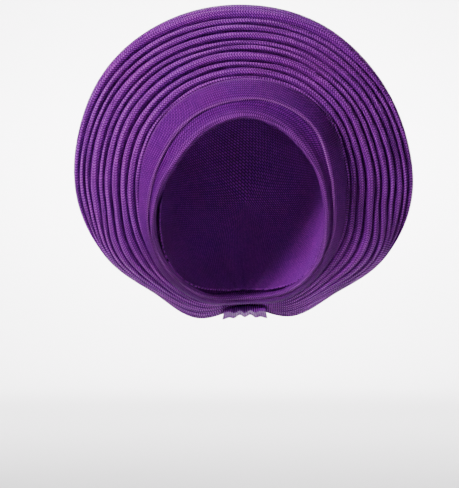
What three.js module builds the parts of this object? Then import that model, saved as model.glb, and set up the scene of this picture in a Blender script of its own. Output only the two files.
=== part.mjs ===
// A tied gele: a head tie of stiff woven cloth, wrapped round the head and pleated into a wide upright fan.
// Units are millimetres, +Z is up and the wearer's face looks along -Y.
// The origin is the point inside the crown wrap where the top of the head sits.
// Every piece runs right round the head, so each is lofted through sections set at angles about a level
// axis that goes through the head from front to back. In a section, r is the distance from that axis
// and y is the depth, growing towards the back of the head.
import * as THREE from "three";

// Driving dimensions
const AXIS_BELOW_CROWN = 98; // the axis runs this far under the top of the head
const CLOTH = 1.2; // one layer of the stiff cloth
const FOLDED_CLOTH = 2; // the same cloth doubled over
const CAP_WALL = 1.6; // the close wrap on the skull
const LAYER_GAP = 0.6; // between one layer and the next
const HEAD_MIDDLE_Y = 2; // depth of the widest part of the skull
const HEAD_HALF_DEPTH = 96; // from there to the back of the skull
const STEPS_BETWEEN_SECTIONS = 2;

// Sections round the head, at even angles from the crown past the wearer's right cheek and the nape
// to the left cheek and up again.
// head is the skull's own radius. edge is the hem round the face, lap the lower edge of the front fold,
// foot the place where the fan starts and rim the widest line of the fan.
// bow is how far the face of the fan swells forward between foot and rim.
const CROWN_ANGLE = 90; // of the first section, from the wearer's left
const SECTION_COLUMNS = ["head", "edgeR", "edgeY", "lapR", "lapY", "footR", "footY", "rimR", "rimY", "bow"];
const SECTIONS = [
  [98, 70, -66, 85.5, -61, 104, -43, 173, -2, 3], // crown
  [93.5, 68, -64, 84, -59, 103, -41, 173.5, -2, 3],
  [87, 66, -60, 82, -56, 100.5, -38, 170, 0, 3],
  [80, 68, -53, 80.5, -50, 96, -32, 160, 4, 3.5],
  [78, 76.5, -43, 83.5, -40, 92.5, -23, 149.5, 10, 4.5], // right cheek
  [81, 86, -22, 90, -18, 94, -6, 134.5, 26, 7],
  [89, 92, 12, 94.5, 15, 97.5, 22, 118, 56, 5],
  [98, 93, 46, 96, 50, 98, 57, 117, 88, 2],
  [104, 88, 61, 90.5, 65, 92, 72, 98, 102, 0], // nape
  [96, 90, 46, 93, 50, 95, 57, 115, 88, 2],
  [84, 87, 12, 89.5, 15, 92.5, 22, 118, 56, 5],
  [76, 77, -22, 83.5, -18, 91, -6, 135.5, 26, 7],
  [75, 69.5, -43, 77.5, -40, 89, -23, 148.5, 10, 4.5], // left cheek
  [77, 67, -53, 78.5, -50, 93, -32, 154.5, 4, 3.5],
  [85, 66, -60, 85, -56, 100.5, -38, 162, 0, 3],
  [93.5, 68.5, -64, 87, -59, 104, -41, 170, -2, 3],
].map((row) => Object.fromEntries(SECTION_COLUMNS.map((name, i) => [name, row[i]])));

// The creases between the pleats, from the foot of the fan out to its rim. Each number is the crease's
// share of the way from foot to rim: over the crown, beside the right and left cheeks, and at the nape.
const CREASE_COLUMNS = ["crown", "right", "left", "nape"];
const CREASES = [
  [0.05, 0.06, 0.06, 0.1],
  [0.155, 0.175, 0.15, 0.2],
  [0.235, 0.29, 0.275, 0.3],
  [0.355, 0.405, 0.405, 0.4],
  [0.435, 0.52, 0.485, 0.5],
  [0.51, 0.6, 0.62, 0.6],
  [0.615, 0.735, 0.705, 0.7],
  [0.71, 0.81, 0.84, 0.8],
  [0.8, 0.905, 0.905, 0.9],
].map((row) => Object.fromEntries(CREASE_COLUMNS.map((name, i) => [name, row[i]])));
const CREASE_DEPTH = 6; // from the pleats' shoulders down to the bottom of a crease
const CREASE_DEPTH_NAPE = 2.4; // the pleats are pressed flatter where they are tied
const CREASE_HALF_WIDTH = 1.05; // of the cloth's middle line, in a crease between broad pleats
const CREASE_SHARE = 0.26; // and at most this share of a narrow pleat
const PLEAT_ROUND = 3.2; // rise of a pleat above its shoulders
const RIM_FRONT = 12; // the front of the rim stands this far before its widest line
const RIM_BACK = 9; // and its back this far behind
const FAN_BACK_LEAN = 8; // the plain back meets the crown wrap this far before the rim's widest line
const FAN_BACK_LIMIT = 88; // and never further back than this
const FAN_BACK_PULL = 0.05; // share of its way that the cloth has come in again behind the rim
const FAN_BACK_SHARES = [0, 0.35, 0.7, 1]; // corners of the plain back, from the rim to the crown wrap
const PLEAT_CREST = [0.3, 0.72]; // a pleat's crest, in shares of its width
const PLEAT_NAPE_LOSS = 0.4; // share of its rise that a pleat loses at the nape
const ROOT_DEPTH = 10; // the fan leaves the crown wrap this far behind its foot
const ROOT_NAPE_LOSS = 0.85; // share of that hidden run that is missing at the nape

// The two bands in front of the fan. Their hidden edges are tucked in between the fan and the crown wrap.
const TUCK_SHARE = 0.55; // the tuck's depth, as a share of the way from lap to foot
const CAP_TUCK = 6; // the crown wrap's front edge reaches this far before the tuck
const CAP_STEPS = 8; // facets of the crown wrap from its front edge to the back of the head
const HEM_TURN = 1.6; // the hem round the face is turned in this far
const HEM_REACH = 0.06; // and stands out by this share of the band's width
const BAND_SWELL = [0.45, 1]; // share of the way from hem to lap and rise there
const BAND_NAPE_LOSS = 0.6; // share of its hidden half that the band loses at the nape
const LIP_TURN = 0.4; // the front fold's lower lip is turned in this far
const LIP_REACH = 0.05; // and stands out by this share of the fold's width
const FOLD_SWELL = [[0.08, 0.6], [0.35, 2], [0.7, 2.4]]; // shares of the way from lap to foot and rises there
const FOLD_CREST = 2.2; // the fold's upper edge stands this far before and inside the fan's foot
const FOLD_TUCK = 4.5; // it is turned in behind that edge by this much
const FOLD_TUCK_NAPE = 1.5; // and by this much at the nape
const FOLD_NAPE_LEAN = 0.7; // share by which that turn lies down along the fold at the nape

// The knot at the nape: a turn of cloth over the gathered pleats, which ties the ends
const KNOT_HALF_ANGLE = 11;
const KNOT_STATIONS = 9;
const KNOT_CLEARANCE = 1.5; // over the pleats
const KNOT_THICK = 7;
const KNOT_THIN = 3; // at the bottom of its gathers and at its ends
const KNOT_GATHERS = 2; // on either side of its middle
const KNOT_GATHER_DEPTH = 0.45; // share of its thickness
const KNOT_ON_PLEATS = [0.3, 0.8]; // shares of the way from foot to rim where it lies on the pleats
const KNOT_END = 0.6; // it ends this share of the way down the fan's back

const CLOTH_COLOUR = "#6a1f9a";
const cloth = new THREE.MeshStandardMaterial({ color: CLOTH_COLOUR, roughness: 0.55, metalness: 0 });

const point = (r, y) => new THREE.Vector2(r, y);
const along = (a, b, share) => a.clone().lerp(b, share);

// One column of the section table at position u, counted in rows, on a smooth closed curve through the rows.
function smoothColumn(name, u) {
  const row = Math.floor(u);
  const rows = SECTIONS.length;
  const [before, from, to, after] = [-1, 0, 1, 2].map((k) => SECTIONS[(row + k + rows) % rows][name]);
  const t = u - row;
  const pull = (to - before) / 2;
  const push = (after - from) / 2;
  const bend = 2 * (from - to) + pull + push;
  return from + t * (pull + t * (3 * (to - from) - 2 * pull - push + t * bend));
}

// Share of the way from foot to rim of one crease at an angle.
function creaseShare(crease, angle) {
  const sine = Math.sin(THREE.MathUtils.degToRad(angle));
  const upright = sine * sine;
  const cosine = Math.cos(THREE.MathUtils.degToRad(angle));
  const ends = sine > 0 ? crease.crown : crease.nape;
  const sides = cosine > 0 ? crease.left : crease.right;
  return upright * ends + (1 - upright) * sides;
}

// Everything that the pieces need to know about one section.
function sectionAt(u) {
  const s = Object.fromEntries(SECTION_COLUMNS.map((name) => [name, smoothColumn(name, u)]));
  s.angle = CROWN_ANGLE + (360 * u) / SECTIONS.length;
  const below = Math.max(0, -Math.sin(THREE.MathUtils.degToRad(s.angle)));
  const edge = point(s.edgeR, s.edgeY);
  const lap = point(s.lapR, s.lapY);
  const foot = point(s.footR, s.footY);
  const rim = point(s.rimR, s.rimY);
  const bandRun = foot.clone().sub(edge).normalize();
  const bandFront = point(bandRun.y, -bandRun.x);
  const rimFront = rim.clone().add(point(0, -RIM_FRONT * (1 - below)));
  const fanRun = rimFront.clone().sub(foot);
  const fanWidth = fanRun.length();
  fanRun.normalize();
  const fanFront = point(fanRun.y, -fanRun.x);
  return { ...s, below, edge, lap, foot, rim, bandRun, bandFront, fanRun, fanFront, fanWidth };
}

// The skull's outline in a section at depth y, moved out by a clearance.
function onSkull(section, y, clearance) {
  const lean = (y - HEAD_MIDDLE_Y) / HEAD_HALF_DEPTH;
  const r = section.head * Math.sqrt(Math.max(0, 1 - lean * lean));
  const out = point(r / section.head ** 2, (y - HEAD_MIDDLE_Y) / HEAD_HALF_DEPTH ** 2).normalize();
  return point(r, y).addScaledVector(out, clearance);
}

// The closed outline of a wall of even thickness, whose middle line is given.
function wallOutline(middle, thickness) {
  const front = [];
  const back = [];
  middle.forEach((p, i) => {
    const into = p.clone().sub(middle[Math.max(0, i - 1)]);
    const outOf = middle[Math.min(middle.length - 1, i + 1)].clone().sub(p);
    if (i === 0) into.copy(outOf);
    if (i === middle.length - 1) outOf.copy(into);
    into.normalize();
    outOf.normalize();
    const side = point(into.y + outOf.y, -into.x - outOf.x).normalize();
    const mitre = 1 / Math.max(0.6, side.dot(point(into.y, -into.x)));
    front.push(p.clone().addScaledVector(side, (thickness / 2) * mitre));
    back.push(p.clone().addScaledVector(side, (-thickness / 2) * mitre));
  });
  return [...front, ...back.reverse()];
}

// A closed body from the outlines of a piece, one for each section. It joins up round the head,
// or is closed with an end wall at its first and last section. A point on the axis is one shared corner.
function ringBody(sections, outlines, joinsUp = true) {
  const positions = [];
  const count = outlines[0].length;
  const corner = outlines.map((outline, i) =>
    outline.map((p) => {
      if (p.x < 1e-6 && i > 0) return null;
      const angle = THREE.MathUtils.degToRad(sections[i].angle);
      positions.push(p.x * Math.cos(angle), p.y, p.x * Math.sin(angle) - AXIS_BELOW_CROWN);
      return positions.length / 3 - 1;
    }),
  );
  const at = (i, j) => corner[i % outlines.length][j % count] ?? corner[0][j % count];
  const faces = [];
  const triangle = (a, b, c) => {
    if (a !== b && b !== c && c !== a) faces.push(a, b, c);
  };
  const quad = (a, b, c, d) => {
    triangle(a, b, c);
    triangle(a, c, d);
  };
  const spans = joinsUp ? outlines.length : outlines.length - 1;
  for (let i = 0; i < spans; i += 1) {
    for (let j = 0; j < count; j += 1) {
      quad(at(i, j), at(i, j + 1), at(i + 1, j + 1), at(i + 1, j));
    }
  }
  for (let j = 0; !joinsUp && j < count / 2 - 1; j += 1) {
    const [far, farNext] = [count - 1 - j, count - 2 - j];
    quad(at(0, j), at(0, far), at(0, farNext), at(0, j + 1));
    quad(at(spans, j), at(spans, j + 1), at(spans, farNext), at(spans, far));
  }
  const body = new THREE.BufferGeometry();
  body.setAttribute("position", new THREE.Float32BufferAttribute(positions, 3));
  body.setIndex(faces);
  body.computeVertexNormals();
  return body;
}

// The crown wrap: a bowl of cloth on the crown and the back of the head, tucked under the bands in front.
function crownWrapOutline(section) {
  const tuckY = along(section.lap, section.foot, TUCK_SHARE).y - CAP_TUCK;
  const first = Math.asin((tuckY - HEAD_MIDDLE_Y) / HEAD_HALF_DEPTH);
  const wall = (clearance) => {
    const line = [];
    for (let k = 0; k <= CAP_STEPS; k += 1) {
      const lean = first + ((Math.PI / 2 - first) * k) / CAP_STEPS;
      const p = onSkull(section, HEAD_MIDDLE_Y + HEAD_HALF_DEPTH * Math.sin(lean), clearance);
      line.push(k === CAP_STEPS ? point(0, HEAD_MIDDLE_Y + HEAD_HALF_DEPTH + clearance) : p);
    }
    return line;
  };
  return [...wall(CAP_WALL), ...wall(0).reverse()];
}

// The forehead band: the first turn of cloth, folded over at the face and half covered by the front fold.
function foreheadBandOutline(section) {
  const { edge, lap, foot, bandFront } = section;
  const under = (p) => p.clone().addScaledVector(bandFront, -(FOLDED_CLOTH + LAYER_GAP));
  const tuckY = along(lap, foot, TUCK_SHARE).y;
  const lapped = under(lap);
  const skull = onSkull(section, tuckY, CAP_WALL + LAYER_GAP + FOLDED_CLOTH / 2);
  const tuck = along(lapped, skull, 1 - BAND_NAPE_LOSS * section.below);
  const [swellShare, swellRise] = BAND_SWELL;
  const swell = along(edge, lapped, swellShare).addScaledVector(bandFront, swellRise);
  const hem = edge.clone().addScaledVector(bandFront, -HEM_TURN).lerp(lapped, -HEM_REACH);
  return wallOutline([hem, edge, swell, lapped, along(lapped, tuck, 0.5), tuck], FOLDED_CLOTH);
}

// The front fold: the second turn, a smooth band between the forehead band and the fan.
function frontFoldOutline(section) {
  const { lap, foot, bandRun, bandFront, fanFront, fanRun, below } = section;
  const face = FOLD_SWELL.map(([share, rise]) => along(lap, foot, share).addScaledVector(bandFront, rise));
  const lip = lap.clone().addScaledVector(bandFront, -LIP_TURN).lerp(foot, -LIP_REACH);
  const crest = foot.clone().addScaledVector(fanRun, -FOLD_CREST).addScaledVector(fanFront, FOLD_CREST);
  const inwards = along(fanFront.clone().negate(), bandRun, FOLD_NAPE_LEAN * below);
  const tuck = crest.clone().addScaledVector(inwards, THREE.MathUtils.lerp(FOLD_TUCK, FOLD_TUCK_NAPE, below));
  return wallOutline([lip, ...face, crest, tuck], FOLDED_CLOTH);
}

// A place on the face of the fan: a share of the way from foot to rim, and a height before the face.
function onFan(section, share, height) {
  const { foot, fanRun, fanFront, fanWidth, bow } = section;
  const swell = bow * 4 * share * (1 - share);
  return foot.clone().addScaledVector(fanRun, share * fanWidth).addScaledVector(fanFront, height + swell);
}

// Where the plain back of the fan starts behind the rim, and where it ends on the crown wrap.
function fanBack(section) {
  const y = Math.min(section.rim.y - FAN_BACK_LEAN, FAN_BACK_LIMIT);
  const seat = onSkull(section, y, CAP_WALL + LAYER_GAP + CLOTH);
  const behind = section.rim.clone().addScaledVector(section.fanFront, -RIM_BACK).lerp(seat, FAN_BACK_PULL);
  return { behind, seat };
}

// The pleated fan: one wall of cloth that leaves the crown wrap, rises in round pleats from foot to rim,
// turns over the rim and comes back down plain behind them to the crown wrap.
function pleatedFanOutline(section) {
  const { foot, rim, fanWidth, below, angle } = section;
  const depth = THREE.MathUtils.lerp(CREASE_DEPTH, CREASE_DEPTH_NAPE, below);
  const shares = [0, ...CREASES.map((crease) => creaseShare(crease, angle)), 1];
  const middle = [];
  for (let k = 0; k + 1 < shares.length; k += 1) {
    const last = k + 2 === shares.length;
    const pleat = (shares[k + 1] - shares[k]) * fanWidth;
    const inset = Math.min(CREASE_HALF_WIDTH, CREASE_SHARE * pleat) / fanWidth;
    const [from, to] = [shares[k] + inset, last ? 1 : shares[k + 1] - inset];
    const across = (share) => THREE.MathUtils.lerp(from, to, share);
    const round = Math.min(PLEAT_ROUND, ((to - from) * fanWidth) / 2) * (1 - PLEAT_NAPE_LOSS * below);
    middle.push(onFan(section, from, -depth - round), onFan(section, from, -round));
    PLEAT_CREST.forEach((share) => middle.push(onFan(section, across(share), 0)));
    if (!last) middle.push(onFan(section, to, -round), onFan(section, to, -depth - round));
  }
  const skull = onSkull(section, foot.y + ROOT_DEPTH, CAP_WALL + LAYER_GAP + CLOTH);
  middle.unshift(along(middle[0], skull, 1 - ROOT_NAPE_LOSS * below));
  middle.push(rim);
  const { behind, seat } = fanBack(section);
  FAN_BACK_SHARES.forEach((share) => middle.push(along(behind, seat, share)));
  return wallOutline(middle, CLOTH);
}

// The nape knot: it starts on the pleats, goes round the rim and ends on the plain back of the fan.
function napeKnotOutline(section) {
  const { behind, seat } = fanBack(section);
  const gather = 0.5 - 0.5 * Math.cos(2 * Math.PI * KNOT_GATHERS * section.acrossKnot);
  const taper = 1 - section.acrossKnot ** 2;
  const thickness = THREE.MathUtils.lerp(KNOT_THIN, KNOT_THICK, taper * (1 - KNOT_GATHER_DEPTH * gather));
  const lift = CLOTH + KNOT_CLEARANCE + thickness / 2;
  const onPleats = KNOT_ON_PLEATS.map((share) => onFan(section, share, 0));
  const fan = [...onPleats, section.rim, behind, along(behind, seat, KNOT_END)];
  const overFan = wallOutline(fan, 2 * lift).slice(0, fan.length);
  return wallOutline(overFan, thickness);
}

function clothPiece(name, geometry) {
  const mesh = new THREE.Mesh(geometry, cloth);
  mesh.name = name;
  return mesh;
}

const sections = [];
for (let i = 0; i < SECTIONS.length * STEPS_BETWEEN_SECTIONS; i += 1) {
  sections.push(sectionAt(i / STEPS_BETWEEN_SECTIONS));
}
const ringPiece = (name, outline) => clothPiece(name, ringBody(sections, sections.map(outline)));

const knotSections = [];
for (let i = 0; i < KNOT_STATIONS; i += 1) {
  const acrossKnot = (2 * i) / (KNOT_STATIONS - 1) - 1;
  const rowsAcross = (acrossKnot * KNOT_HALF_ANGLE * SECTIONS.length) / 360;
  knotSections.push({ ...sectionAt(SECTIONS.length / 2 + rowsAcross), acrossKnot });
}

const gele = new THREE.Group();
gele.add(ringPiece("crown_wrap", crownWrapOutline));
gele.add(ringPiece("forehead_band", foreheadBandOutline));
gele.add(ringPiece("front_fold", frontFoldOutline));
gele.add(ringPiece("pleated_fan", pleatedFanOutline));
gele.add(clothPiece("nape_knot", ringBody(knotSections, knotSections.map(napeKnotOutline), false)));

export default gele;
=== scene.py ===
import math
from types import SimpleNamespace

import bmesh
import bpy
import numpy as np
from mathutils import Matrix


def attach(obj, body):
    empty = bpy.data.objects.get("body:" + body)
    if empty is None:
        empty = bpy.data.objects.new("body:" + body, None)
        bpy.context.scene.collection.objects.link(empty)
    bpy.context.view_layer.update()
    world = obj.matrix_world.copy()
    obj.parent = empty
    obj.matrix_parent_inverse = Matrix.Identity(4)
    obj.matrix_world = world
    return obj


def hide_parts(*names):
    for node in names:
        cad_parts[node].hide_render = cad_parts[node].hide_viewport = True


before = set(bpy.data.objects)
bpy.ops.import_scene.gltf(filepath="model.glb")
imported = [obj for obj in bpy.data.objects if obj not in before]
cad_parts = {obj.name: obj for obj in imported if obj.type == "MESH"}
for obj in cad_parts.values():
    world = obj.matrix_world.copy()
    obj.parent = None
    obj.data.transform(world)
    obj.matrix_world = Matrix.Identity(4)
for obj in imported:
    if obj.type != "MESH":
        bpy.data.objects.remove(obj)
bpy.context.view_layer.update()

# Crown wrap
# The close turns of cloth on the crown and the back of the head, drawn tight over the skull.
# Their front edge is tucked under the bands at the face, and the fan rests on them all round.

MM = 0.001
AXIS_BELOW_CROWN = 98  # the level axis that every turn of cloth goes round lies this far under the crown
SKULL_MIDDLE_Y = 2
SKULL_HALF_DEPTH = 96
CAP_WALL = 1.6
LAYER_GAP = 0.6

# Lines that the turns of cloth follow round the head, in millimetres from the axis (r) and in depth (y),
# at even angles from the crown past the wearer's right cheek, the nape and the left cheek.
# hem is the edge round the face, lap the lower edge of the front fold, foot and rim the fan's,
# and bow is how far the fan's face swells forward between those two.
WRAP_COLUMNS = ("skull", "hem_r", "hem_y", "lap_r", "lap_y", "foot_r", "foot_y", "rim_r", "rim_y", "bow")
WRAP_ROWS = (
    (98, 70, -66, 85.5, -61, 104, -43, 173, -2, 3),  # crown
    (93.5, 68, -64, 84, -59, 103, -41, 173.5, -2, 3),
    (87, 66, -60, 82, -56, 100.5, -38, 170, 0, 3),
    (80, 68, -53, 80.5, -50, 96, -32, 160, 4, 3.5),
    (78, 76.5, -43, 83.5, -40, 92.5, -23, 149.5, 10, 4.5),  # right cheek
    (81, 86, -22, 90, -18, 94, -6, 134.5, 26, 7),
    (89, 92, 12, 94.5, 15, 97.5, 22, 118, 56, 5),
    (98, 93, 46, 96, 50, 98, 57, 117, 88, 2),
    (104, 88, 61, 90.5, 65, 92, 72, 98, 102, 0),  # nape
    (96, 90, 46, 93, 50, 95, 57, 115, 88, 2),
    (84, 87, 12, 89.5, 15, 92.5, 22, 118, 56, 5),
    (76, 77, -22, 83.5, -18, 91, -6, 135.5, 26, 7),
    (75, 69.5, -43, 77.5, -40, 89, -23, 148.5, 10, 4.5),  # left cheek
    (77, 67, -53, 78.5, -50, 93, -32, 154.5, 4, 3.5),
    (85, 66, -60, 85, -56, 100.5, -38, 162, 0, 3),
    (93.5, 68.5, -64, 87, -59, 104, -41, 170, -2, 3),
)
RIM_FRONT = 12  # the front of the rim stands this far before its widest line
STATIONS_PER_ROW = 17
row_count = len(WRAP_ROWS)


def smooth_round(values, at):
    """A column of the table at the given rows, on a smooth closed curve through the rows."""
    values = np.asarray(values, dtype=float)
    first = np.floor(at).astype(int)
    t = at - first
    before, start, end, after = (values[(first + k) % row_count] for k in (-1, 0, 1, 2))
    pull = (end - before) / 2
    push = (after - start) / 2
    bend = 2 * (start - end) + pull + push
    return start + t * (pull + t * (3 * (end - start) - 2 * pull - push + t * bend))


def unit(vectors):
    return vectors / np.linalg.norm(vectors, axis=-1, keepdims=True)


def lines_at(at):
    """Where the turns of cloth run at the given rows: points (r, y) and directions at each station."""
    w = SimpleNamespace(**{n: smooth_round(v, at) for n, v in zip(WRAP_COLUMNS, np.transpose(WRAP_ROWS))})
    w.angle = math.pi / 2 + 2 * math.pi * at / row_count
    w.below = np.clip(-np.sin(w.angle), 0, None)[:, None]
    w.above = np.clip(np.sin(w.angle), 0, None)[:, None]
    for line in ("hem", "lap", "foot", "rim"):
        setattr(w, line, np.stack((getattr(w, line + "_r"), getattr(w, line + "_y")), axis=-1))
    w.band_run = unit(w.foot - w.hem)
    w.band_front = np.stack((w.band_run[:, 1], -w.band_run[:, 0]), axis=-1)
    fan_run = w.rim - np.array((0, RIM_FRONT)) * (1 - w.below) - w.foot
    w.fan_width = np.linalg.norm(fan_run, axis=-1, keepdims=True)
    w.fan_run = unit(fan_run)
    w.fan_front = np.stack((w.fan_run[:, 1], -w.fan_run[:, 0]), axis=-1)
    return w


# The stations start and end at the nape, where the knot covers the join of the weave.
wrap = lines_at(row_count / 2 + np.arange(row_count * STATIONS_PER_ROW) / STATIONS_PER_ROW)


def between(a, b, share):
    return a + (b - a) * share


def on_skull(w, y, clearance):
    """The skull's outline at depth y in each section, moved out by a clearance."""
    lean = np.clip((y - SKULL_MIDDLE_Y) / SKULL_HALF_DEPTH, -1, 1)
    r = w.skull * np.sqrt(1 - lean**2)
    out = unit(np.stack((r / w.skull**2, (y - SKULL_MIDDLE_Y) / SKULL_HALF_DEPTH**2), axis=-1))
    return np.stack((r, y * np.ones_like(r)), axis=-1) + out * clearance


def slow_waves(w, seed, cycles, height):
    """Soft unevenness round the head, the same on every run: sines of a few cycles with seeded phases."""
    phases = np.random.default_rng(seed).uniform(0, 2 * math.pi, len(cycles))
    waves = sum(np.sin(n * w.angle + phase) for n, phase in zip(cycles, phases))
    return (height / len(cycles) ** 0.5 * waves)[:, None]


def rounded(points, per_span):
    """More points on a smooth curve through each station's run of section points."""
    ends = (2 * points[:, :1] - points[:, 1:2], 2 * points[:, -1:] - points[:, -2:-1])
    p = np.concatenate((ends[0], points, ends[1]), axis=1)
    a, b, c, d = p[:, :-3], p[:, 1:-2], p[:, 2:-1], p[:, 3:]
    t = (np.arange(per_span) / per_span)[None, None, :, None]
    a, b, c, d = (x[:, :, None, :] for x in (a, b, c, d))
    curve = b + t * ((c - a) / 2 + t * (a - 2.5 * b + 2 * c - d / 2 + t * (1.5 * (b - c) + (d - a) / 2)))
    return np.concatenate((curve.reshape(len(points), -1, 2), points[:, -1:]), axis=1)


TIP_ROUND = 0.8  # an edge of the cloth bulges by this share of half its thickness
WELD = 0.002  # corners closer than this are one


def there_and_back(values):
    """Values along a wall's middle line, carried round its outline: out on one face, back on the other."""
    return np.concatenate((values, values[:, -1:], values[:, ::-1], values[:, :1]), axis=1)


def cloth_ring(name, w, middle, thickness, along, across, crest, joins_up=True, dome=False):
    """A wall of cloth round the head from its middle line in each station, with both edges rounded.
    along and across are the weave's own lengths in millimetres, and crest is 1 where a fold's edge is
    painted pale as a highlight.
    A dome ends on the axis, and its weave's lengths come back to where they started after one turn."""
    tangent = unit(np.gradient(middle, axis=1))
    side = np.stack((tangent[..., 1], -tangent[..., 0]), axis=-1) * thickness / 2
    tip = TIP_ROUND * thickness / 2
    tip_end = middle[:, -1:] + tangent[:, -1:] * tip
    tip_start = middle[:, :1] - tangent[:, :1] * tip
    section = np.concatenate((middle + side, tip_end, (middle - side)[:, ::-1], tip_start), axis=1)
    if dome:
        points = middle.shape[1]
        section[:, points - 1:points + 2, 0] = 0
    along, across, crest = (
        there_and_back(np.broadcast_to(values, middle.shape[:2])) for values in (along, across, crest)
    )
    stations, corners = section.shape[:2]
    cosine, sine = np.cos(w.angle)[:, None], np.sin(w.angle)[:, None]
    r, y = section[..., 0], section[..., 1]
    places = np.stack((r * cosine, y, r * sine - AXIS_BELOW_CROWN), axis=-1) * MM
    spans = stations if joins_up else stations - 1
    i, j = np.meshgrid(np.arange(spans), np.arange(corners), indexing="ij")
    j_next = (j + 1) % corners
    quad = ((i, j), (i, j_next), (i + 1, j_next), (i + 1, j))
    faces = np.stack([(a % stations) * corners + b for a, b in quad], axis=-1).reshape(-1, 4)
    mesh = bpy.data.meshes.new(name)
    ends = []
    if not joins_up:
        ends = [list(range(corners))[::-1], list(range((stations - 1) * corners, stations * corners))]
    mesh.from_pydata(places.reshape(-1, 3).tolist(), [], faces.tolist() + ends)
    closing = along[:1] if dome else 2 * along[-1:] - along[-2:-1]
    along = np.concatenate((along, closing))
    across = np.concatenate((across, across[:1] if joins_up else across[-1:]))
    weave = np.stack([np.stack((along[a, b], across[a, b]), axis=-1) for a, b in quad], axis=2)
    weave = weave.reshape(-1, 2) * MM
    weave = np.concatenate((weave, np.zeros((2 * corners if ends else 0, 2))))
    mesh.uv_layers.new(name="weave").data.foreach_set("uv", weave.ravel())
    mesh.attributes.new("crest", "FLOAT", "POINT").data.foreach_set("value", crest.ravel())
    shell = bmesh.new()
    shell.from_mesh(mesh)
    bmesh.ops.remove_doubles(shell, verts=shell.verts, dist=WELD * MM)
    loose_edges = [edge for edge in shell.edges if not edge.link_faces]
    bmesh.ops.delete(shell, geom=loose_edges, context="EDGES")
    loose_corners = [corner for corner in shell.verts if not corner.link_faces]
    bmesh.ops.delete(shell, geom=loose_corners, context="VERTS")
    shell.to_mesh(mesh)
    shell.free()
    mesh.shade_smooth()
    piece = bpy.data.objects.new(name, mesh)
    bpy.context.collection.objects.link(piece)
    return piece


def running_length(line, w):
    """Length along one line of section points from the first station on, in millimetres."""
    place = np.stack((line[:, 0] * np.cos(w.angle), line[:, 1], line[:, 0] * np.sin(w.angle)), axis=-1)
    steps = np.linalg.norm(np.diff(place, axis=0), axis=-1)
    return np.concatenate(((0,), np.cumsum(steps)))[:, None]


def crossing_length(middle):
    """Length across the cloth from its first edge, in millimetres, averaged over the stations."""
    steps = np.linalg.norm(np.diff(middle, axis=1), axis=-1).mean(axis=0)
    return np.concatenate(((0,), np.cumsum(steps)))[None, :]


def linear(hex_colour):
    """An sRGB hex colour as linear red, green, blue and alpha."""
    channels = [int(hex_colour[k:k + 2], 16) / 255 for k in (1, 3, 5)]
    return [c / 12.92 if c <= 0.04045 else ((c + 0.055) / 1.055) ** 2.4 for c in channels] + [1.0]


def add_node(tree, kind, inputs=None, **settings):
    """Adds a node with its settings, and sets or links its inputs."""
    made = tree.nodes.new("ShaderNode" + kind)
    for setting, value in settings.items():
        setattr(made, setting, value)
    for socket, value in (inputs or {}).items():
        if isinstance(value, bpy.types.NodeSocket):
            tree.links.new(value, made.inputs[socket])
        else:
            made.inputs[socket].default_value = value
    return made


FLOAT_LENGTH = 3.2 * MM  # real floats are about 1 mm long; drawn this coarse so that they show
FLOAT_WIDTH = 1.7 * MM
GAP_BETWEEN_FLOATS = 0.62 * MM
FLOAT_RELIEF = 0.5 * MM
SHOT_SCALE = 22.0  # cycles a metre: the two shot tints change over about 45 mm
FUZZ_SCALE = 900.0  # fibres of about 1.1 mm
FUZZ_SHARE = 0.25  # of the floats' relief
FLOAT_ROUGHNESS = 0.36
GAP_ROUGHNESS = 0.7


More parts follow.
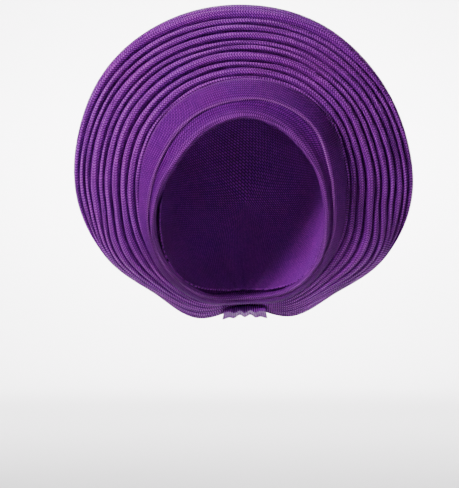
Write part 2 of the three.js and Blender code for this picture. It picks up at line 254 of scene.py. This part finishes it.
def satin_twill(name, light_float, dark_float, gap, highlight_float, shine):
    """Stiff woven cloth in a twill, whose raised floats are light and dark, with deep gaps between them.
    Floats painted pale as a highlight show on the crests, and shine is the strength of the satin's own
    reflection."""
    made = bpy.data.materials.new(name)
    made.use_nodes = True
    tree = made.node_tree
    tree.nodes.clear()
    weave_map = add_node(tree, "UVMap", uv_map="weave")
    turned = {"Vector": weave_map.outputs["UV"], "Rotation": (0, 0, math.radians(45))}
    diagonal = add_node(tree, "Mapping", turned)
    floats = add_node(
        tree, "TexBrick",
        {
            "Vector": diagonal.outputs["Vector"],
            "Color1": linear(light_float), "Color2": linear(dark_float), "Mortar": linear(gap),
            "Scale": 1.0, "Mortar Size": GAP_BETWEEN_FLOATS, "Mortar Smooth": 1.0, "Bias": -0.1,
            "Brick Width": FLOAT_LENGTH, "Row Height": FLOAT_WIDTH,
        },
        offset=0.5,
    )
    place = add_node(tree, "TexCoord").outputs["Object"]
    uneven = add_node(tree, "TexNoise", {"Vector": place, "Scale": SHOT_SCALE, "Detail": 3.0})
    tints = {"Fac": uneven.outputs["Fac"], "Color1": linear("#a890ff"), "Color2": linear("#ff90f0")}
    shot = add_node(tree, "MixRGB", tints)
    layers = {"Fac": 0.5, "Color1": floats.outputs["Color"], "Color2": shot.outputs["Color"]}
    toned = add_node(tree, "MixRGB", layers, blend_type="MULTIPLY")
    raised = add_node(tree, "Math", {0: 1.0, 1: floats.outputs["Fac"]}, operation="SUBTRACT").outputs[0]
    # painted highlight: raised floats on fold edges and pleat crests are mixed towards a pale colour
    crest = add_node(tree, "Attribute", attribute_name="crest").outputs["Fac"]
    pale = add_node(tree, "Math", {0: crest, 1: raised}, operation="MULTIPLY").outputs[0]
    highlight_mix = {"Fac": pale, "Color1": toned.outputs["Color"], "Color2": linear(highlight_float)}
    highlighted = add_node(tree, "MixRGB", highlight_mix)
    fuzz = add_node(tree, "TexNoise", {"Vector": place, "Scale": FUZZ_SCALE, "Detail": 2.0})
    heights = {0: fuzz.outputs["Fac"], 1: FUZZ_SHARE, 2: raised}
    relief = add_node(tree, "Math", heights, operation="MULTIPLY_ADD")
    bump = add_node(tree, "Bump", {"Height": relief.outputs[0], "Strength": 0.8, "Distance": FLOAT_RELIEF})
    roughness = {"Value": floats.outputs["Fac"], "To Min": FLOAT_ROUGHNESS, "To Max": GAP_ROUGHNESS}
    gloss = add_node(tree, "MapRange", roughness)
    surface = add_node(
        tree, "BsdfPrincipled",
        {
            "Base Color": highlighted.outputs["Color"], "Roughness": gloss.outputs["Result"],
            "Normal": bump.outputs["Normal"],
            "Specular IOR Level": shine, "Specular Tint": linear("#ffa6ff"),
            "Sheen Weight": 0.02, "Sheen Roughness": 0.3, "Sheen Tint": linear("#e08cff"),
        },
    )
    add_node(tree, "OutputMaterial", {"Surface": surface.outputs["BSDF"]})
    return made


# Polyester and cotton with a satin finish: the eye sees bright lilac floats that catch the light one by one
# on round folds, deep violet between them and a soft sheen on the flats.
cloth = satin_twill("satin_twill_cloth", "#bb3ed0", "#a22abd", "#1a0034", "#d878e4", 0.2)

CAP_STEPS = 64
TUCK_SHARE = 0.55  # the forehead band's hidden edge lies as deep as this share of the way from lap to foot
CAP_TUCK = 6  # the crown wrap's front edge reaches this far before it
DRAPE_FOLDS = 13  # soft folds that spread over the crown from a point near the knot
DRAPE_HEIGHT = 0.9
DRAPE_START = 0.9  # how far below the axis that point lies, as a share of the skull's radius
DRAPE_TURN = 0.6
tuck_y = between(wrap.lap, wrap.foot, TUCK_SHARE)[:, 1]
first_lean = np.arcsin((tuck_y - CAP_TUCK - SKULL_MIDDLE_Y) / SKULL_HALF_DEPTH)
cap_middle = []
for step in range(CAP_STEPS + 1):
    lean = between(first_lean, math.pi / 2, step / CAP_STEPS)
    from_axis = np.cos(lean)
    from_knot = np.arctan2(np.cos(wrap.angle) * from_axis, np.sin(wrap.angle) * from_axis + DRAPE_START)
    drape = DRAPE_HEIGHT * np.sin(DRAPE_FOLDS * from_knot + DRAPE_TURN)
    drape = drape * from_axis * np.clip(np.sin(lean), 0, 1)
    y = SKULL_MIDDLE_Y + SKULL_HALF_DEPTH * np.sin(lean)
    cap_middle.append(on_skull(wrap, y, (CAP_WALL / 2 + drape)[:, None]))
cap_middle = np.stack(cap_middle, axis=1)
from_top = crossing_length(cap_middle)
from_top = from_top[:, -1:] - from_top
crown_wrap = cloth_ring(
    "crown_wrap_cloth", wrap, cap_middle, CAP_WALL,
    from_top * np.cos(wrap.angle)[:, None], from_top * np.sin(wrap.angle)[:, None], 0.0, dome=True,
)
crown_wrap.data.materials.append(cloth)
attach(crown_wrap, "root")
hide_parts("crown_wrap")

# Forehead band
# The first turn of the same cloth, doubled and drawn round the face with its folded edge outwards.
# Its upper half lies hidden under the front fold and its tail runs behind the ears to the knot.

FOLDED_CLOTH = 2.0
FINER = 1.3  # the bands show the cloth's finer face, with this many times the floats
HEM_TURN = 2.4  # the hem is turned in this far
HEM_REACH = 0.02  # and its roll reaches this share of the way from hem to lap to either side
HEM_RISE = 0.2
BULGE_SHARE = 0.22  # beside the roll the band bulges
BULGE_RISE = 0.8
DIP_SHARE = 0.55  # and dips a little over the forehead before the front fold
DIP_DEPTH = 0.4
BAND_ROUNDING = 7
# painted highlight along the hem's roll: how strongly and over what width its floats are coloured paler
HEM_HIGHLIGHT = 0.35
HEM_HIGHLIGHT_WIDTH = 2.2

# The same cloth ironed flat, with its floats close and less shine; its colours are made darker as painted
# shade on the bands.
shaded_pressed_cloth = satin_twill("shaded_pressed_satin_twill_cloth", "#9322a6", "#7e1896", "#120026", "#b75ccb", 0.12)


def highlight_line(across, centre, width):
    """How much painted highlight a folded edge takes across the cloth: 1 on the edge, fading over a width in
    millimetres.
    """
    return np.exp(-(((across - centre) / width) ** 2))


lapped = wrap.lap - wrap.band_front * (FOLDED_CLOTH + LAYER_GAP)
tuck = on_skull(wrap, tuck_y, CAP_WALL + FOLDED_CLOTH / 2)
turned_in = between(wrap.hem - wrap.band_front * HEM_TURN, lapped, -HEM_REACH)
hem_roll = between(wrap.hem, lapped, HEM_REACH) + wrap.band_front * HEM_RISE
bulge = between(wrap.hem, lapped, BULGE_SHARE) + wrap.band_front * BULGE_RISE
dip = between(wrap.hem, lapped, DIP_SHARE) - wrap.band_front * DIP_DEPTH * wrap.above
band_middle = np.stack(
    (turned_in, hem_roll, bulge, dip, lapped, between(lapped, tuck, 0.5), tuck), axis=1,
)
band_middle = rounded(band_middle, BAND_ROUNDING)
band_across = crossing_length(band_middle)
on_roll = BAND_ROUNDING + 1
# painted highlight on the hem's roll
hem_highlight = highlight_line(band_across, band_across[0, on_roll], HEM_HIGHLIGHT_WIDTH)
forehead_band = cloth_ring(
    "forehead_band_cloth", wrap, band_middle, FOLDED_CLOTH,
    FINER * running_length(band_middle[:, on_roll + 2], wrap),
    FINER * np.abs(band_across - band_across[0, on_roll + 1]),
    HEM_HIGHLIGHT * hem_highlight,
)
forehead_band.data.materials.append(shaded_pressed_cloth)
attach(forehead_band, "root")
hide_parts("forehead_band")

# Front fold
# The second turn, a smooth broad fold that laps over the forehead band and covers the foot of the fan.
# Both its edges are sharp pressed folds, which the light picks out as thin pale lines; a painted highlight
# makes them paler still.

LIP_TURN = 0.8  # the lower lip is turned in this far
LIP_REACH = 0.03  # and stands out by this share of the fold's width
FOLD_SWELL = ((0.06, 0.6), (0.35, 1.8), (0.7, 2.3))  # shares of the way from lap to foot, and rises there
FOLD_CREST = 2.2  # the upper edge stands this far before and inside the fan's foot
FOLD_TUCK = 4.5  # and is turned in behind itself by this much
FOLD_TUCK_NAPE = 1.5  # and by this much at the nape
FOLD_NAPE_LEAN = 0.7  # share by which that turn lies down along the fold at the nape
FOLD_ROUNDING = 8
# widths of the painted highlight along the lower lip and the upper crest
LIP_HIGHLIGHT_WIDTH = 1.3
CREST_HIGHLIGHT_WIDTH = 1.0
lip = between(wrap.lap - wrap.band_front * LIP_TURN, wrap.foot, -LIP_REACH)
swells = [between(wrap.lap, wrap.foot, share) + wrap.band_front * rise for share, rise in FOLD_SWELL]
fold_crest = wrap.foot - wrap.fan_run * FOLD_CREST + wrap.fan_front * FOLD_CREST
inwards = between(-wrap.fan_front, wrap.band_run, FOLD_NAPE_LEAN * wrap.below)
tucked = fold_crest + inwards * between(FOLD_TUCK, FOLD_TUCK_NAPE, wrap.below)
fold_middle = rounded(np.stack((lip, *swells, fold_crest, tucked), axis=1), FOLD_ROUNDING)
fold_across = crossing_length(fold_middle)
on_crest = FOLD_ROUNDING * (1 + len(FOLD_SWELL))
# painted highlight on the lip and on the crest
edge_highlight = highlight_line(fold_across, 0, LIP_HIGHLIGHT_WIDTH)
edge_highlight = edge_highlight + highlight_line(fold_across, fold_across[0, on_crest], CREST_HIGHLIGHT_WIDTH)
front_fold = cloth_ring(
    "front_fold_cloth", wrap, fold_middle, FOLDED_CLOTH,
    FINER * running_length(fold_middle[:, on_crest // 2], wrap), FINER * fold_across, edge_highlight,
)
front_fold.data.materials.append(shaded_pressed_cloth)
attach(front_fold, "root")
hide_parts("front_fold")

# Pleated fan
# The long run of the cloth, laid in round pleats one above the other and spread into a halo.
# It leaves the crown wrap at its foot, turns over at the rim and comes down plain behind the pleats.

CLOTH = 1.2
# Share of the way from foot to rim of each crease between two pleats: over the crown, beside the wearer's
# right and left cheeks, below the ears and at the nape. puff is how far the pleat before the crease stands
# out, and kept the share of it left below the ears, where the outer pleats run out into one broad fold.
CREASE_COLUMNS = ("crown", "right", "left", "ears", "nape", "puff", "kept")
CREASES = (
    (0.05, 0.06, 0.06, 0.04, 0.1, -0.6, 1.0),
    (0.155, 0.175, 0.15, 0.19, 0.2, 0.3, 1.0),
    (0.235, 0.29, 0.275, 0.36, 0.3, -0.3, 1.0),
    (0.355, 0.405, 0.405, 0.54, 0.4, 0.6, 0.85),
    (0.435, 0.52, 0.485, 0.71, 0.5, -0.2, 0.5),
    (0.51, 0.6, 0.62, 0.83, 0.6, -0.7, 0.3),
    (0.615, 0.735, 0.705, 0.9, 0.7, 0.4, 0.2),
    (0.71, 0.81, 0.84, 0.94, 0.8, 0.0, 0.15),
    (0.8, 0.905, 0.905, 0.97, 0.9, 0.4, 0.1),
)
EAR_LEVEL = 0.5  # sine of the angle below the axis at which that broad fold is reached
CREASE_DEPTH = 6  # from the pleats' shoulders down to the bottom of a crease
CREASE_DEPTH_NAPE = 2.4  # the pleats are pressed flatter where they are tied
CREASE_HALF_WIDTH = 1.5
CREASE_SHARE = 0.27  # a crease takes at most this share of a narrow pleat
STRAY_SEED = 40  # the creases stray a little from their lines
STRAY_CYCLES = (3, 5, 8, 13)
STRAY = 0.35
PLEAT_ROUND = 3.8  # rise of a pleat above its shoulders
PLEAT_NAPE_LOSS = 0.4  # share of that rise lost at the nape
PLEAT_FULLNESS = 0.9  # power of the sine that gives a pleat its round back; 1 is an ellipse
PLEAT_TURNS = 9  # points over a pleat's round back
PUFF_SEED = 70  # and each pleat swells and sinks along its length
PUFF_CYCLES = (2, 3, 7, 11)
PUFF_UNEVEN = 0.5
PUFF_NAPE_LOSS = 0.7
# painted highlight on each pleat's crest: strength and width
PLEAT_HIGHLIGHT = 0.25
PLEAT_HIGHLIGHT_WIDTH = 1.6
RIM_BACK = 9  # the back of the rim stands this far behind its widest line
RIM_ROUNDING = 2
RIM_HIGHLIGHT = 0.6  # share of a pleat's painted highlight
FAN_BACK_LEAN = 8  # the plain back meets the crown wrap this far before the rim's widest line
FAN_BACK_LIMIT = 88  # and never further back than this
FAN_BACK_PULL = 0.05  # share of its way that the cloth has come in again behind the rim


def eased(share):
    """A share from 0 to 1 that starts and ends softly."""
    share = np.clip(share, 0, 1)
    return share * share * (3 - 2 * share)


to_ears = eased(wrap.below / EAR_LEVEL)
to_nape = eased((wrap.below - EAR_LEVEL) / (1 - EAR_LEVEL))


def crease_share(crease):
    """Share of the way from foot to rim of one crease in each station."""
    sides = np.where(np.cos(wrap.angle) > 0, crease["left"], crease["right"])[:, None]
    upper = between(sides, crease["crown"], wrap.above**2)
    lower = between(between(sides, crease["ears"], to_ears), crease["nape"], to_nape)
    return np.where(wrap.below > 0, lower, upper)


def on_fan(w, share, height):
    """A place on the fan's face: a share of the way from foot to rim, and a height before the face."""
    swell = w.bow[:, None] * 4 * share * (1 - share)
    return w.foot + w.fan_run * share * w.fan_width + w.fan_front * (height + swell)


def fan_back(w):
    """Where the plain back starts behind the rim, and where it ends on the crown wrap."""
    y = np.minimum(w.rim[:, 1] - FAN_BACK_LEAN, FAN_BACK_LIMIT)
    seat = on_skull(w, y, CAP_WALL + CLOTH / 2)
    return between(w.rim - w.fan_front * RIM_BACK, seat, FAN_BACK_PULL), seat


depth = between(CREASE_DEPTH, CREASE_DEPTH_NAPE, wrap.below)
creases = [dict(zip(CREASE_COLUMNS, row)) for row in CREASES]
shares = [np.zeros_like(depth)]
for k, crease in enumerate(creases):
    stray = slow_waves(wrap, STRAY_SEED + k, STRAY_CYCLES, STRAY) / wrap.fan_width
    shares.append(crease_share(crease) + stray * (1 - to_ears))
shares.append(np.ones_like(depth))

fan_middle, fan_along, fan_across, fan_crest = [], [], [], []


def lay_pleat(points, centre):
    """Adds one pleat's points, with the weave counted from the pleat's crest."""
    points = np.stack(points, axis=1)
    steps = np.linalg.norm(np.diff(points, axis=1), axis=-1)
    across = np.concatenate((np.zeros_like(depth), np.cumsum(steps, axis=1)), axis=1)
    across = np.abs(across - across[:, centre:centre + 1])
    fan_middle.append(points)
    fan_along.append(np.broadcast_to(running_length(points[:, centre], wrap), across.shape))
    fan_across.append(across)
    # painted highlight along the pleat's crest
    fan_crest.append(PLEAT_HIGHLIGHT * highlight_line(across, 0, PLEAT_HIGHLIGHT_WIDTH))


for k, crease in enumerate(creases):
    pleat = (shares[k + 1] - shares[k]) * wrap.fan_width
    inset = np.minimum(CREASE_HALF_WIDTH, CREASE_SHARE * pleat) / wrap.fan_width
    start, end = shares[k] + inset, shares[k + 1] - inset
    kept = between(between(1, crease["kept"], to_ears), 1, to_nape)
    round_up = np.minimum(PLEAT_ROUND, (end - start) * wrap.fan_width / 2)
    round_up = round_up * (1 - PLEAT_NAPE_LOSS * wrap.below) * kept
    puff = crease["puff"] + slow_waves(wrap, PUFF_SEED + k, PUFF_CYCLES, PUFF_UNEVEN)
    puff = puff * (1 - PUFF_NAPE_LOSS * wrap.below) * kept
    lift = puff - round_up
    deep = depth * kept
    points = [on_fan(wrap, start, lift - deep), on_fan(wrap, start, lift - deep * 0.5)]
    for turn in np.linspace(math.pi, 0, PLEAT_TURNS):
        cosine, sine = math.cos(turn), abs(math.sin(turn))
        sideways = 0.5 + 0.5 * math.copysign(abs(cosine) ** PLEAT_FULLNESS, cosine)
        points.append(on_fan(wrap, between(start, end, sideways), lift + round_up * sine**PLEAT_FULLNESS))
    points += [on_fan(wrap, end, lift - deep * 0.5), on_fan(wrap, end, lift - deep)]
    lay_pleat(points, len(points) // 2)

# The rim is the last pleat. Over the crown it is the broadest, and a shallow groove parts its crest from the
# ply turning back. Its first side is pressed as flat below the ears as the pleat before it.
# Each pair is a share of the way across the rim's front and a height before the fan's face.
rim_pleat = (1 - shares[-2]) * wrap.fan_width
start = shares[-2] + np.minimum(CREASE_HALF_WIDTH, CREASE_SHARE * rim_pleat) / wrap.fan_width
groove = wrap.above
rim_front = (
    (0.0, (-PLEAT_ROUND - depth) * kept),
    (0.0, (-PLEAT_ROUND - depth * 0.5) * kept),
    (0.0, -PLEAT_ROUND * kept),
    (0.09, -1.2 * kept),
    (0.3, 0.4),
    (0.5, 0.1),
    (0.6, -0.9 - 0.9 * groove),
    (0.68, -1.3 - 0.3 * groove),
    (0.86, -2.6),
    (0.97, -6.0 + 2 * wrap.below),
)
RIM_BEHIND = 1.5  # the rim's roll swells out this far between its widest line and the plain back
behind, seat = fan_back(wrap)
rim_points = [on_fan(wrap, between(start, 1, share), height) for share, height in rim_front]
rim_points += [wrap.rim, between(wrap.rim, behind, 0.5) + wrap.fan_run * RIM_BEHIND, behind]
rim_points = np.stack(rim_points, axis=1)
rim_points = np.concatenate((rim_points[:, :2], rounded(rim_points[:, 2:], RIM_ROUNDING)), axis=1)
rim_crest = 2 + 2 * RIM_ROUNDING
lay_pleat(list(np.moveaxis(rim_points, 1, 0)), rim_crest)
fan_crest[-1] = fan_crest[-1] * RIM_HIGHLIGHT

# The plain back, with soft gathers that run from the rim to the crown wrap and are shallower over the crown.
BACK_STEPS = 18
GATHERS = ((1.1, 19, 2), (0.8, 31, -3))  # height, number round the fan and slant of the broad and fine ones
GATHER_RISE = 0.85  # they rise and fall over this much of a half wave on the way to the crown wrap
GATHER_LIMIT = 0.75  # but stop at this share of it, so that they still show there
GATHERS_ON_TOP = 0.6  # share of their height that shows over the crown
back_points = []
for step in range(1, BACK_STEPS + 1):
    share = step / BACK_STEPS
    gathers = sum(height * np.sin(number * wrap.angle + slant * share) for height, number, slant in GATHERS)
    rise = math.sin(math.pi * min(GATHER_LIMIT, GATHER_RISE * share))
    gathers = gathers[:, None] * rise * between(1, GATHERS_ON_TOP, wrap.above)
    back_points.append(between(behind, seat, share) - wrap.fan_front * gathers)
back_points = np.stack(back_points, axis=1)
fan_middle.append(back_points)
back_along = running_length(back_points[:, BACK_STEPS // 3], wrap)
fan_along.append(np.broadcast_to(back_along, back_points.shape[:2]))
fan_across.append(fan_across[-1][:, -1:] + crossing_length(back_points))
fan_crest.append(np.zeros(back_points.shape[:2]))

# The root ply leaves the crown wrap and runs out under the front fold to the first pleat.
ROOT_DEPTH = 10  # the fan leaves the crown wrap this far behind its foot
ROOT_NAPE_LOSS = 0.85  # share of that hidden run that is missing at the nape
ROOT_WEAVE = ((8, 4),)  # how much further across the weave the root's two points lie than the first pleat
root_seat = on_skull(wrap, wrap.foot[:, 1] + ROOT_DEPTH, CAP_WALL + CLOTH / 2)
root_start = between(fan_middle[0][:, 0], root_seat, 1 - ROOT_NAPE_LOSS * wrap.below)
root = np.stack((root_start, between(root_start, fan_middle[0][:, 0], 0.5)), axis=1)
fan_middle.insert(0, root)
fan_along.insert(0, fan_along[0][:, :2])
fan_across.insert(0, fan_across[0][:, :1] + np.array(ROOT_WEAVE))
fan_crest.insert(0, np.zeros((len(depth), 2)))
pleated_fan = cloth_ring(
    "pleated_fan_cloth", wrap, np.concatenate(fan_middle, axis=1), CLOTH,
    *(np.concatenate(values, axis=1) for values in (fan_along, fan_across, fan_crest)),
)
pleated_fan.data.materials.append(cloth)
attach(pleated_fan, "root")
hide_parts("pleated_fan")

# Nape knot
# The tie that holds it all: the end of the cloth passed once over the gathered pleats and tucked in.
# It is pulled tight, so it is puckered along its length.

KNOT_HALF_ANGLE = 11
KNOT_STATIONS = 45
KNOT_CLEARANCE = 1.5  # over the pleats
KNOT_THICK = 7
KNOT_THIN = 3  # at the bottom of its gathers and at its ends
KNOT_GATHERS = 2  # on either side of its middle
KNOT_GATHER_DEPTH = 0.65  # share of its thickness
KNOT_ON_PLEATS = (0.3, 0.8)  # shares of the way from foot to rim where it lies on the pleats
KNOT_END = 0.6  # it ends this share of the way down the fan's back
KNOT_ROUNDING = 6
across_knot = np.linspace(-1, 1, KNOT_STATIONS)
knot = lines_at(row_count / 2 + across_knot * KNOT_HALF_ANGLE * row_count / 360)
knot_behind, knot_seat = fan_back(knot)
pucker = 0.5 + 0.5 * np.cos(2 * math.pi * KNOT_GATHERS * across_knot)
fullness = (1 - across_knot**2) * between(1 - KNOT_GATHER_DEPTH, 1, pucker)
knot_wall = between(KNOT_THIN, KNOT_THICK, fullness)[:, None]
over = CLOTH + KNOT_CLEARANCE + knot_wall / 2
knot_path = [on_fan(knot, share, 0) for share in KNOT_ON_PLEATS]
knot_path += [knot.rim, knot_behind, between(knot_behind, knot_seat, KNOT_END)]
knot_path = rounded(np.stack(knot_path, axis=1), KNOT_ROUNDING)
knot_run = unit(np.gradient(knot_path, axis=1))
knot_out = np.stack((knot_run[..., 1], -knot_run[..., 0]), axis=-1)
knot_middle = knot_path + knot_out * over[:, None, :]
on_rim = KNOT_ROUNDING * len(KNOT_ON_PLEATS)
nape_knot = cloth_ring(
    "nape_knot_cloth", knot, knot_middle, knot_wall[:, None, :],
    running_length(knot_middle[:, on_rim], knot), crossing_length(knot_middle), 0.0, joins_up=False,
)
nape_knot.data.materials.append(cloth)
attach(nape_knot, "root")
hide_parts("nape_knot")

# Studio
# A pale round floor that sweeps up into a wall all round, and one key light from the left.
# A soft fill, a light on the rim and two washes on wall and floor go with it.

FLOOR_Z = -0.42
FLOOR_RADIUS = 2.0
COVE_RADIUS = 1.2
WALL_HEIGHT = 3.0
COVE_STEPS = 10
WALL_SIDES = 64
profile = [(0.0, 0.0)]
for step in range(COVE_STEPS + 1):
    turn = math.pi / 2 * step / COVE_STEPS
    profile.append((FLOOR_RADIUS + COVE_RADIUS * math.sin(turn), COVE_RADIUS * (1 - math.cos(turn))))
profile.append((FLOOR_RADIUS + COVE_RADIUS, WALL_HEIGHT))
cove = bmesh.new()
spine = [cove.verts.new((r, 0, FLOOR_Z + z)) for r, z in profile]
edges = [cove.edges.new(pair) for pair in zip(spine, spine[1:])]
bmesh.ops.spin(
    cove, geom=spine + edges, axis=(0, 0, 1), cent=(0, 0, 0),
    angle=2 * math.pi, steps=WALL_SIDES, use_merge=True,
)
bmesh.ops.remove_doubles(cove, verts=cove.verts, dist=0.1 * MM)
bmesh.ops.recalc_face_normals(cove, faces=cove.faces)
sweep_mesh = bpy.data.meshes.new("sweep")
cove.to_mesh(sweep_mesh)
cove.free()
sweep_mesh.shade_smooth()
sweep = bpy.data.objects.new("sweep", sweep_mesh)
bpy.context.collection.objects.link(sweep)
paper = bpy.data.materials.new("matt_white_paper")
paper.use_nodes = True
paper.node_tree.nodes["Principled BSDF"].inputs["Base Color"].default_value = linear("#cfcdcf")
paper.node_tree.nodes["Principled BSDF"].inputs["Roughness"].default_value = 0.9
sweep_mesh.materials.append(paper)

world = bpy.data.worlds.new("soft_room")
world.use_nodes = True
world.node_tree.nodes["Background"].inputs["Color"].default_value = (1.0, 1.0, 1.0, 1.0)
world.node_tree.nodes["Background"].inputs["Strength"].default_value = 0.01
bpy.context.scene.world = world


def lamp(name, place, aim, width, height, watts, spread):
    """A soft lamp that looks at a point, with its beam kept to a spread in degrees."""
    data = bpy.data.lights.new(name, "AREA")
    data.shape = "RECTANGLE"
    data.size = width
    data.size_y = height
    data.energy = watts
    data.spread = math.radians(spread)
    made = bpy.data.objects.new(name, data)
    bpy.context.collection.objects.link(made)
    made.location = place
    direction = np.array(aim) - np.array(place)
    level = math.hypot(direction[0], direction[1])
    made.rotation_euler = (math.atan2(level, -direction[2]), 0, math.atan2(-direction[0], direction[1]))


# Name, place, point aimed at, width and height in metres, watts, spread in degrees.
lamp("key", (-1.2, -1.05, 0.6), (-0.07, 0, -0.03), 0.5, 0.5, 1.6, 30)
lamp("front_fill", (-0.3, -2.0, 0.1), (0, 0, -0.1), 1.2, 1.2, 0.3, 60)
lamp("rim_light", (-0.2, 0.4, 1.2), (0, 0, 0.05), 0.6, 0.6, 1.7, 70)
lamp("backdrop_wash", (0, 1.9, 2.0), (0, 3.0, -0.1), 2.0, 0.3, 170, 75)
lamp("floor_wash", (0, 1.7, 2.2), (0, 1.3, -0.4), 3.0, 0.6, 80, 60)

# The camera looks level, a pace and a half before the fan and a little below the middle of its opening.
PIXEL = 0.88 * MM  # width of one pixel of the picture at the fan
PICTURE_HEIGHT = 488
MIDDLE_COLUMN = 229.5
AXIS_COLUMN = 245  # picture column of the head's own middle
FAN_PLANE_Y = -15 * MM
CAMERA_DISTANCE = 1.6
CAMERA_Z = -137 * MM
camera_data = bpy.data.cameras.new("camera")
camera = bpy.data.objects.new("camera", camera_data)
bpy.context.collection.objects.link(camera)
camera.location = (0, FAN_PLANE_Y - CAMERA_DISTANCE, CAMERA_Z)
camera.rotation_euler = (math.pi / 2, 0, 0)
camera_data.lens = camera_data.sensor_width * CAMERA_DISTANCE / (PICTURE_HEIGHT * PIXEL)
camera_data.shift_x = (MIDDLE_COLUMN - AXIS_COLUMN) / PICTURE_HEIGHT
bpy.context.scene.camera = camera
